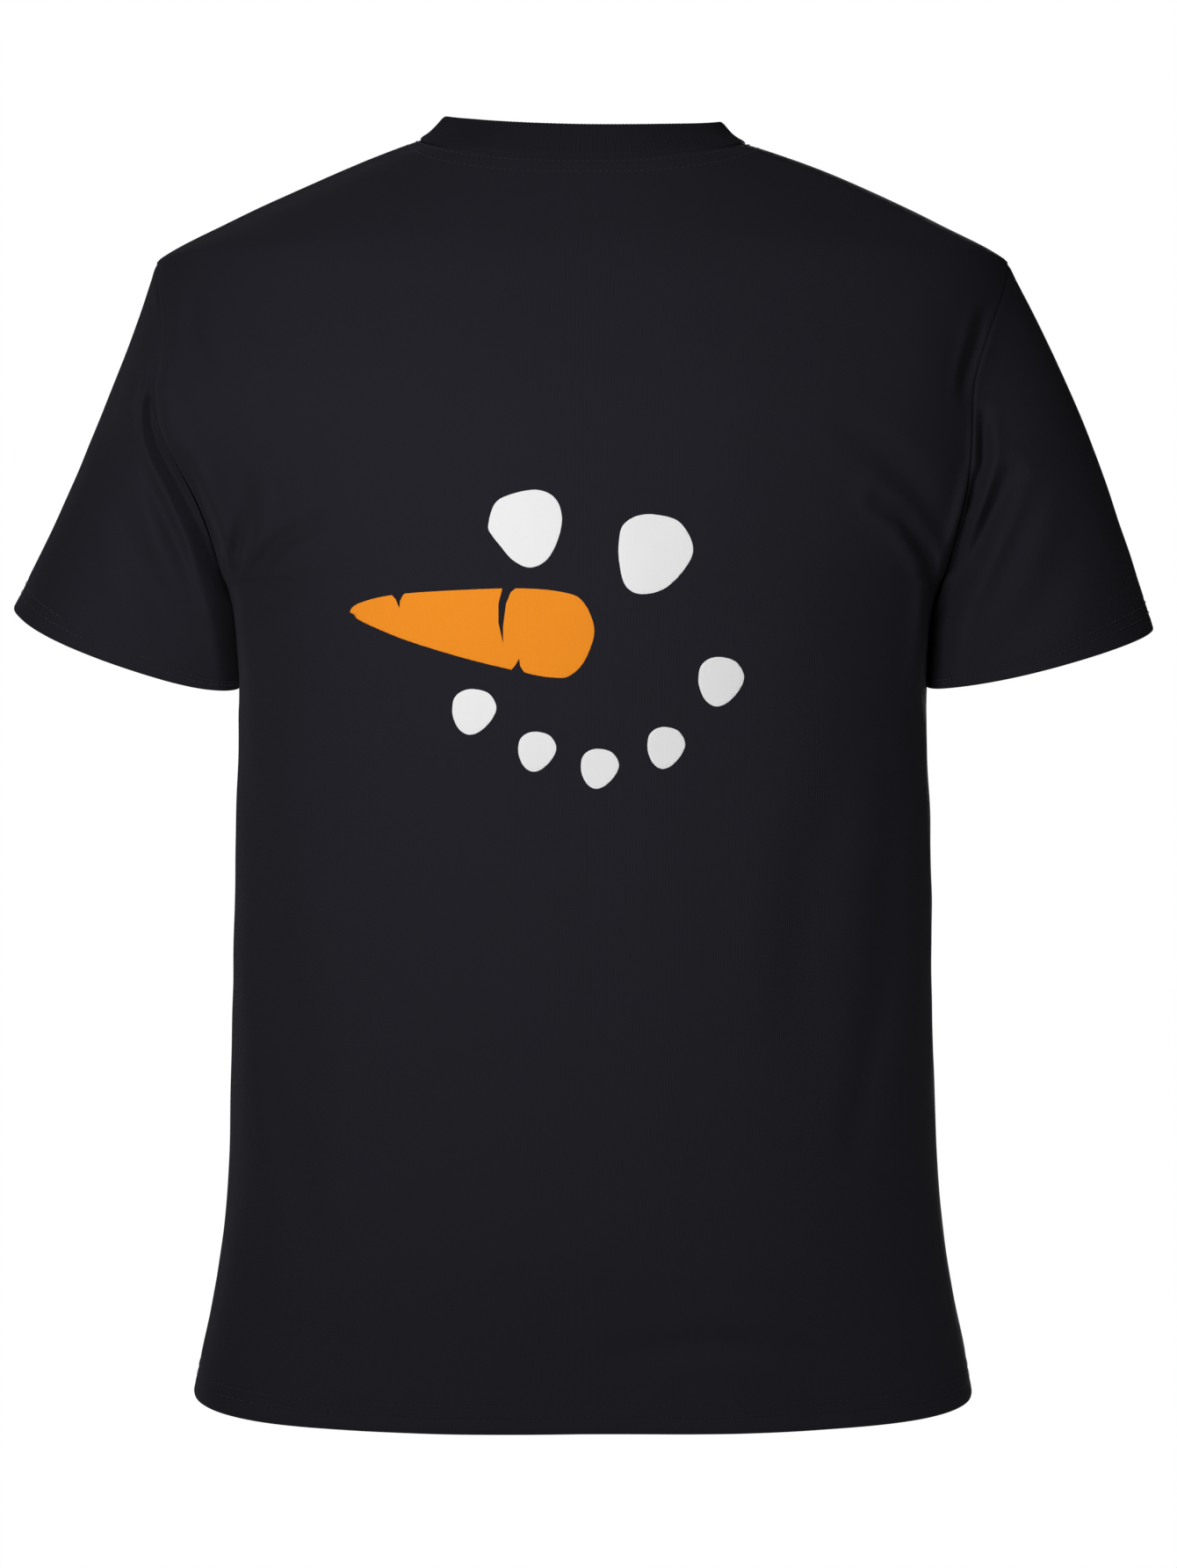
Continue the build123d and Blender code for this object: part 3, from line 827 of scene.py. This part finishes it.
def sleeve_place(side):
    def place(u, v):
        turn = (2 * pi * u + pi) % (2 * pi)
        row = v * (sleeve_rows + inside_rows + roll_rows)
        inside = np.clip(row / inside_rows, 0, 1)
        roll = np.clip((row - inside_rows) / roll_rows, 0, 1) * pi
        up = np.clip((row - inside_rows - roll_rows) / sleeve_rows, 0, 1)
        s = 1 - up * (1.462 - 0.45 * up)
        s = s - np.where(up <= 0, hem_depth / sleeve_length * (1 - inside), 0)
        rolled = (row > inside_rows) & (up <= 0)
        s = s - np.where(rolled, layer_gap / 2 * (1 - np.sin(roll)) / sleeve_length, 0)
        s = s - np.where(row <= inside_rows, layer_gap / 2 * inside / sleeve_length, 0)
        lift = np.where(up <= 0, -layer_gap / 2 * (1 + np.cos(roll)), 0.0)
        lift = lift + np.where(up > 0, seam_dip(s * sleeve_length), 0) - 1.2 * np.clip(-s / 0.012, 0, 1)
        lift = lift + np.where(up > 0, stitch_dip((1 - s) * sleeve_length - hem_depth + 2), 0)
        return sleeve_point(side, s, turn, lift)

    return place


for name, side in (("left_sleeve", left), ("right_sleeve", right)):
    rows = sleeve_rows + inside_rows + roll_rows
    place = sleeve_place(side)
    piece = lay(f"{name}_cloth", sleeve_columns, rows, place, (0.41, 0.24), jersey_black, closed=True)
    face_outwards(piece, lambda c, side=side: Vector((side * 0.242, 0.005, c.z)))
    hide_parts(name)
    print(name, "faces:", len(piece.data.polygons))

# %% [markdown]
# ## Rib collar
# The collar is a strip of one-and-one rib folded double along its top edge. Its ribs are real relief, one
# ridge every two millimetres, because they can be seen from close by. The cross-section goes up the
# outside, over the fold and down the inside, and closes under the seam.

# %% Collar surface
def collar_base(turn, w):
    """Points of the collar: turn from 0 to 1 goes round, w is 0 at the seam and 1 at the top edge."""
    side = np.where(turn < 0.5, back, front)
    angle = np.where(turn < 0.5, -pi / 2 + 2 * pi * turn, 3 * pi / 2 - 2 * pi * turn)
    rim = w * collar_rise
    half_width = section(rim)[0]
    drop = np.where(side == back, back_neck_drop, front_neck_drop) + w * (collar_rise - 19.0)
    x = half_width * np.sin(angle)
    z = rim - drop * np.cos(angle)
    return np.stack([x, depth_at(side, x, z), z], axis=-1)


loop = np.linspace(0, 1, 2001)
run = np.linalg.norm(np.diff(collar_base(loop, 0 * loop + 0.5), axis=0), axis=1)
run = np.concatenate([[0], np.cumsum(run)])
collar_round = run[-1]
rib_count = int(collar_round / 2.2)
print("collar", round(collar_round), "mm round,", rib_count, "ribs")

# %% [markdown]
# ## Collar section
# Pairs of numbers go round the doubled rib: how far up the band, and how far out from its middle. The last
# ones close it under the panels' edge.

# %% Collar cloth
collar_profile = np.array(
    [
        (0.0, -0.2), (0.0, 0.5), (0.06, 0.9), (0.3, 1.0), (0.6, 1.0), (0.86, 0.95), (0.96, 0.6), (1.0, -0.1),
        (0.97, -0.8), (0.86, -1.1), (0.6, -1.15), (0.3, -1.15), (-0.1, -1.25), (-0.1, -0.95), (0.0, -0.2),
    ]
)


def collar_at(u, w, lift):
    turn = np.interp(u * collar_round, run, loop)
    e = 0.0015
    base = collar_base(turn, w)
    du = collar_base(np.clip(turn + e, 0, 1), w) - collar_base(np.clip(turn - e, 0, 1), w)
    inner = np.clip(w, 0.05, 0.95)
    dw = collar_base(turn, inner + 0.04) - collar_base(turn, inner - 0.04)
    n = normal_of(base, du, dw)
    n = np.where(((n[:, 0] * base[:, 0] + n[:, 1] * base[:, 1]) < 0)[:, None], -n, n)
    return (base + n * lift[:, None] + drape(base)) * mm


def collar_place(u, v):
    steps = np.linspace(0, 1, len(collar_profile))
    w = np.interp(v, steps, collar_profile[:, 0])
    lift = np.interp(v, steps, collar_profile[:, 1])
    relief = 0.16 * np.cos(2 * pi * u * rib_count) * np.clip(w * 12, 0, 1)
    return collar_at(u, w, lift + relief * np.sign(lift))


collar = lay("collar_rib_cloth", rib_count * 4, 28, collar_place, (0.56, 0.04), rib_black, tube=True)
face_outwards(collar, lambda c: Vector((c.x * 0.98, c.y * 0.98 + 0.0004, c.z)))
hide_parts("collar_rib")

# %% [markdown]
# ## Tapes and overlocked edges
# Inside, a tape covers the seam across the back of the neck and each shoulder seam. The other seams are
# overlocked: a band of thread wrapped round the two raw edges. Each is a narrow strip that follows the
# inside of the cloth, with the loops of thread as slanting ridges.

# %% Strips along the inside
def overlock_lift(u, v, length):
    """How far in an overlocked band lies: a low arch over the raw edges, ridged by its loops."""
    crown = np.sqrt(np.clip(1 - (2 * v - 1) ** 2, 0, 1))
    loops = 0.16 * np.cos(2 * pi * (u * length / 2.4 + v * 0.9))
    return -cloth - crown * (1.1 + loops) - 0.05


def body_strip(name, line, length, width, node, material, overlocked=True):
    """A strip on the inside of the body. line(u, offset) gives side, a and z for a place across the strip."""

    def place(u, v):
        side, a, z = line(u, (v - 0.5) * width)
        if overlocked:
            lift = overlock_lift(u, v, length)
        else:
            lift = -cloth - 0.25 - 0.5 * np.clip(np.minimum(v, 1 - v) * 12, 0, 1)
        points = np.zeros((len(u), 3))
        for half in (back, front):
            mask = side == half
            if mask.any():
                points[mask] = body_point(half, a[mask], z[mask], lift[mask])
        return points

    columns = int(length / (0.8 if overlocked else 2.5))
    piece = lay(name, columns, 8, place, (length * mm, width * mm), material, thickness=0.3)
    face_outwards(piece, lambda c: c + (c - spine(c)) * 0.1)
    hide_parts(node)
    return piece


# %% [markdown]
# ## Lines that the strips follow
# Each line function gives places on the body from u, along the seam, and an offset across it.

# %% Seam lines
def neck_line(half):
    """A strip along the neck seam on the back or the front."""

    def line(u, offset):
        angle = (2 * u - 1) * pi / 2 * 0.995
        drop = back_neck_drop if half == back else front_neck_drop
        x = (neck_half_width + 0.8 * offset) * np.sin(angle)
        z = -(drop + offset) * np.cos(angle) - 0.35 * offset * np.abs(np.sin(angle))
        return np.full(u.shape, half), turn_at(x, z), z

    return line


def shoulder_line(side):
    def line(u, offset):
        share = 0.06 + 0.9 * u
        z = shoulder_z * share + 16 * share * (1 - share)
        half = np.where(offset < 0, back, front)
        depth = section(z)[1]
        tilt = np.arcsin(np.clip(np.abs(offset) / depth, 0, 1)) * 2 / pi
        return half, side * (1 - tilt * 1.1), z

    return line


def side_line(side):
    def line(u, offset):
        z = (hem_z + hem_depth + 2) + u * (armpit_z - overlock_width - 4 - hem_z - hem_depth)
        half = np.where(offset < 0, back, front)
        depth = section(z)[1]
        tilt = (np.abs(offset) / depth) ** 1.15 * 2 / pi
        return half, side * (1 - tilt), z

    return line


def armhole_line(side):
    def line(u, offset):
        turn = 2 * pi * u
        round_turn = np.where(turn > pi, 2 * pi - turn, turn)
        share = np.clip(np.interp(round_turn, share_angles, shares), 0.015, 0.985)
        z = shoulder_z + share * (armpit_z - shoulder_z)
        x = armhole_x(z) - 3.2 + offset * 0.98
        half = np.where(turn > pi, front, back)
        low = np.clip((share - 0.93) / 0.07, 0, 1)
        z = z - low * (3 - offset)
        return half, side * turn_at(x, z), z

    return line


# %% [markdown]
# ## Tapes and edges in place
# Tapes are flat and overlocked edges are rounded, so each has its own short function.

# %% Tapes and overlocked edges
def tape(node, line, length):
    return body_strip(f"{node}_band", line, length, 12.0, node, tape_black, overlocked=False)


def overlock(name, node, line, length):
    return body_strip(name, line, length, overlock_width, node, thread_black)


neck_tape = tape("back_neck_tape", neck_line(back), 205)
overlock("front_neck_overlock_band", "neck_seam_overlock", neck_line(front), 300)
for word, side in (("left", left), ("right", right)):
    tape(f"{word}_shoulder_tape", shoulder_line(side), 146)
    overlock(f"{word}_side_overlock_band", f"{word}_side_overlock", side_line(side), 418)
    overlock(f"{word}_armhole_overlock_band", f"{word}_armhole_overlock", armhole_line(side), 470)

# %% [markdown]
# ## Under the arms
# The sleeve's own seam is overlocked too, and runs from the armhole to just short of the hem.

# %% Underarm edges
def underarm_strip(word, side):
    length = 36.0

    def place(u, v):
        s = 0.05 + u * (0.91 - hem_depth / sleeve_length - 0.05)
        turn = pi + (v - 0.5) * overlock_width / sleeve_hem_half_depth
        return sleeve_point(side, s, turn, overlock_lift(u, v, length))

    piece = lay(f"{word}_underarm_overlock_band", 60, 8, place, (0.036, 0.006), thread_black, thickness=0.3)
    face_outwards(piece, lambda c: Vector((side * 0.1, c.y, c.z)))
    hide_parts(f"{word}_underarm_overlock")


underarm_strip("left", left)
underarm_strip("right", right)

# %% [markdown]
# ## Labels
# A satin size label hangs from the neck tape, and a longer care label is sewn into the left side seam.
# Both are blank ribbons that curl a little at the free end.

# %% Labels
def size_label_place(u, v):
    x = (u - 0.5) * 26
    z = -back_neck_drop + 1 - (1 - v) * 34
    lift = -cloth - 1.1 - 1.6 * (1 - v) ** 2 - 0.4 * np.cos(u * pi * 2) * (1 - v)
    return body_point(back, turn_at(x, z), z, lift)


def care_label_place(u, v):
    z = hem_z + 110 + v * 55
    out = u * 30
    depth = section(z)[1]
    a = left * (1 - (out / depth) ** 1.15 * 2 / pi)
    lift = -cloth - 1.5 - 2.6 * u**2 - 0.6 * np.sin(v * pi) * u
    return body_point(front, a, z, lift)


for name, place, size, columns, rows in (
    ("size_label", size_label_place, (0.026, 0.034), 26, 34),
    ("care_label", care_label_place, (0.030, 0.055), 30, 55),
):
    piece = lay(f"{name}_ribbon", columns, rows, place, size, label_white, thickness=0.25)
    face_outwards(piece, lambda c: c + (c - spine(c)) * 0.1)
    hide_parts(name)
    print(name, "on", "back" if name == "size_label" else "front")

# %% [markdown]
# ## Stitching
# Hems and the neck seam are sewn with a twin needle, which leaves two rows of short stitches. Each stitch
# is its own small bead of thread, pulled slightly into the cloth, on a path of even steps.

# %% Stitches
stitch_length, stitch_gap, thread_radius = 2.3, 0.9, 0.26


def even_steps(path, step):
    """Points and directions every step millimetres along a path given as a dense array in metres."""
    gaps = np.linalg.norm(np.diff(path, axis=0), axis=1)
    total = np.concatenate([[0], np.cumsum(gaps)])
    count = max(2, int(total[-1] / (step * mm)))
    at = (np.arange(count) + 0.5) * total[-1] / count
    points = np.stack([np.interp(at, total, path[:, k]) for k in range(3)], axis=-1)
    ahead = np.stack([np.interp(at + 0.0005, total, path[:, k]) for k in range(3)], axis=-1)
    behind = np.stack([np.interp(at - 0.0005, total, path[:, k]) for k in range(3)], axis=-1)
    return points, ahead - behind


def stitch_rows(name, paths, over):
    bm = bmesh.new()
    for path in paths:
        points, heads = even_steps(path, stitch_length + stitch_gap)
        for point, head in zip(points, heads):
            turn = Vector(head).to_track_quat("X", "Z").to_matrix().to_4x4()
            size = Matrix.Diagonal((stitch_length / 2 * mm, thread_radius * mm, thread_radius * mm, 1))
            matrix = Matrix.Translation(Vector(point)) @ turn @ size
            bmesh.ops.create_uvsphere(bm, u_segments=6, v_segments=4, radius=1, matrix=matrix)
    for face in bm.faces:
        face.smooth = True
    mesh = bpy.data.meshes.new(name)
    bm.to_mesh(mesh)
    bm.free()
    piece = bpy.data.objects.new(name, mesh)
    bpy.context.scene.collection.objects.link(piece)
    mesh.materials.append(thread_black)
    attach(piece, "root")
    print(name, "on", over, "faces:", len(mesh.polygons))
    return piece


# %% [markdown]
# ## Where the rows run
# Each row follows the same curve as the edge it holds down, a set distance away from it.

# %% Rows of stitches
def hem_path(side, above):
    a = np.linspace(-0.999, 0.999, 700)
    base_y = body_base(side, a, np.full_like(a, hem_z))[:, 1]
    z = hem_z + back_hem_drop * base_y / hem_half_depth + above
    return body_point(side, a, z, 0.0)


def sleeve_path(side, above):
    turn = np.linspace(0, 2 * pi, 500) % (2 * pi)
    return sleeve_point(side, np.full_like(turn, 1 - above / sleeve_length), turn, 0.0)


def neck_path(half, below):
    angle = np.linspace(-pi / 2, pi / 2, 500) * 0.99
    drop = back_neck_drop if half == back else front_neck_drop
    x = (neck_half_width + 0.9 * below) * np.sin(angle)
    z = -(drop + below) * np.cos(angle) - 0.42 * below * np.abs(np.sin(angle))
    return body_point(half, turn_at(x, z), z, 0.15)


stitch_heights = (hem_depth - 2, hem_depth - 7.5)
halves = (back, front)
hem_rows = [hem_path(side, above) for side in halves for above in stitch_heights]
stitch_rows("body_hem_stitches", hem_rows, "hem")
for word, side in (("left", left), ("right", right)):
    sleeve_rows_of_stitches = [sleeve_path(side, above) for above in stitch_heights]
    stitch_rows(f"{word}_sleeve_hem_stitches", sleeve_rows_of_stitches, "sleeve")
neck_rows = [neck_path(half, below) for half in halves for below in (2.5, 8.0)]
stitch_rows("neck_stitches", neck_rows, "neck")

# %% [markdown]
# ## Printed face
# The face is screen ink: thin flat films with smooth edges, laid on the back after the shirt was sewn.
# Each outline is a closed smooth curve through a few points. It is filled flat, cut into small squares so
# that it can follow the cloth, pressed onto the back and given the thickness of a film.

# %% Outlines, in millimetres from the face's own origin
face_origin = (3.0, -282.0)
left_eye = [
    (-53, 61), (-50, 72), (-43, 77), (-28, 80), (-18, 76), (-14, 66),
    (-16, 54), (-22, 43), (-31, 39), (-40, 43), (-47, 51), (-51, 56),
]
right_eye = [
    (16, 53), (18, 61), (25, 66), (35, 67), (48, 63), (55, 50),
    (51, 39), (40, 28), (27, 25), (19, 30), (16, 43),
]
carrot = [
    (-126, 17), (-121, 21), (-104, 25), (-75, 27), (-37, 28), (-14, 26), (-3, 21), (3, 6),
    (-2, -10), (-10, -18), (-18, -19), (-31, -17), (-64, -9), (-96, 1), (-119, 11), (-124, 15),
]
grooves = [
    [(-106, 27), (-102, 23), (-100, 18), (-99.5, 22), (-98, 25), (-94, 28)],
    [(-45, 30), (-47.5, 20), (-47.5, 10), (-45, -1), (-45, 8), (-43.5, 20), (-41, 26), (-36, 30)],
    [(-43, -17), (-39, -13), (-36.5, -9), (-36, -13), (-34, -16), (-29, -18)],
]
pebble = [
    (-0.5, 0.08), (-0.45, 0.31), (-0.27, 0.46), (0, 0.5), (0.33, 0.4), (0.5, 0.12),
    (0.4, -0.16), (0.14, -0.42), (-0.12, -0.5), (-0.34, -0.38), (-0.47, -0.14),
]
mouth = [(-60, -37, 23, 24), (-27, -58, 20, 21), (6, -67, 20, 21), (41, -56, 20, 22), (70, -21, 24, 26)]
print("outlines:", 3 + len(mouth), "with", len(grooves), "grooves")

# %% [markdown]
# ## Curves and grooves
# A curve is bent through the points so that few are needed. A groove is taken out of the film with plane
# cuts, which leaves clean edges where a boolean could leave slivers.

# %% Smooth loops and grooves

def smooth_loop(points, steps=10):
    """A closed curve through the points, each stretch bending into the next."""
    out = []
    n = len(points)
    for i in range(n):
        p0, p1, p2, p3 = (np.array(points[(i + k) % n], float) for k in (-1, 0, 1, 2))
        for j in range(steps):
            t = j / steps
            bend = 2 * p0 - 5 * p1 + 4 * p2 - p3
            twist = 3 * p1 - p0 - 3 * p2 + p3
            out.append(0.5 * (2 * p1 + (p2 - p0) * t + bend * t**2 + twist * t**3))
    return out


def flat_film(outline):
    bm = bmesh.new()
    corners = [bm.verts.new((x, 0, z)) for x, z in outline]
    bm.faces.new(corners)
    return bm


def everything(bm):
    return bm.faces[:] + bm.edges[:] + bm.verts[:]


def cut_groove(bm, groove):
    """Takes a groove out of the film: cuts along its edges, then removes what lies inside."""
    corners = [Vector((x, 0, z)) for x, z in groove]
    for a, b in zip(corners, corners[1:] + corners[:1]):
        along = (b - a).normalized()
        normal = along.cross(Vector((0, 1, 0)))
        bmesh.ops.bisect_plane(bm, geom=everything(bm), plane_co=a, plane_no=normal, dist=1e-5)
    inside = [f for f in bm.faces if point_in(f.calc_center_median(), corners)]
    bmesh.ops.delete(bm, geom=inside, context="FACES")


def point_in(p, corners):
    hits = False
    for a, b in zip(corners, corners[1:] + corners[:1]):
        if (a.z > p.z) != (b.z > p.z) and p.x < (b.x - a.x) * (p.z - a.z) / (b.z - a.z) + a.x:
            hits = not hits
    return hits


# %% [markdown]
# ## Printing
# The flat film is cut into squares a few millimetres wide, pressed onto the back and thickened. Weighted
# normals keep its top flat to the eye, because a soft edge would make it look padded.

# %% The film helper
def film(name, outline, node, material, holes=(), cell=3.5, height=0.28):
    bm = flat_film(outline)
    for groove in holes:
        cut_groove(bm, groove)
    xs = [x for x, _ in outline]
    zs = [z for _, z in outline]
    for axis, low, high in ((0, min(xs), max(xs)), (2, min(zs), max(zs))):
        for k in range(1, int((high - low) / cell) + 1):
            spot = [0, 0, 0]
            spot[axis] = low + k * cell
            facing = [0, 0, 0]
            facing[axis] = 1
            bmesh.ops.bisect_plane(bm, geom=everything(bm), plane_co=spot, plane_no=facing, dist=1e-4)
    bmesh.ops.triangulate(bm, faces=bm.faces)
    bmesh.ops.remove_doubles(bm, verts=bm.verts, dist=0.01)
    bmesh.ops.recalc_face_normals(bm, faces=bm.faces)
    layer = bm.loops.layers.uv.new("cloth")
    for face in bm.faces:
        if face.normal.y > 0:
            face.normal_flip()
        face.smooth = True
        for loop in face.loops:
            loop[layer].uv = (loop.vert.co.x * mm, loop.vert.co.z * mm)
    mesh = bpy.data.meshes.new(name)
    bm.to_mesh(mesh)
    bm.free()
    flat = np.zeros(len(mesh.vertices) * 3)
    mesh.vertices.foreach_get("co", flat)
    flat = flat.reshape(-1, 3)
    x, z = flat[:, 0] + face_origin[0], flat[:, 2] + face_origin[1]
    placed = body_point(back, turn_at(x, z), z, 0.12 + height)
    mesh.vertices.foreach_set("co", placed.astype(np.float32).ravel())
    piece = bpy.data.objects.new(name, mesh)
    bpy.context.scene.collection.objects.link(piece)
    mesh.materials.append(material)
    skin = piece.modifiers.new("film", "SOLIDIFY")
    skin.thickness = height * mm
    skin.offset = -1
    even = piece.modifiers.new("flat_top", "WEIGHTED_NORMAL")
    even.weight = 90
    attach(piece, "root")
    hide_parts(node)
    return piece


print("film helper ready, face at", face_origin)

# %% [markdown]
# ## The face
# Two eyes, a carrot with three grooves, and one pebble outline used five times at its own sizes.

# %% Print the face
film("left_eye_ink", smooth_loop(left_eye), "left_eye_print", ink_white)
film("right_eye_ink", smooth_loop(right_eye), "right_eye_print", ink_white)
film("carrot_nose_ink", smooth_loop(carrot), "carrot_nose_print", ink_orange, holes=grooves)
for i, (across, up, wide, tall) in enumerate(mouth):
    outline = smooth_loop([(across + x * wide, up + z * tall) for x, z in pebble], steps=6)
    film(f"mouth_pebble_ink_{i + 1}", outline, f"mouth_pebble_print_{i + 1}", ink_white)
print("films of ink:", 3 + len(mouth))

# %% [markdown]
# ## Sheets of cloth

for side in (left, right):
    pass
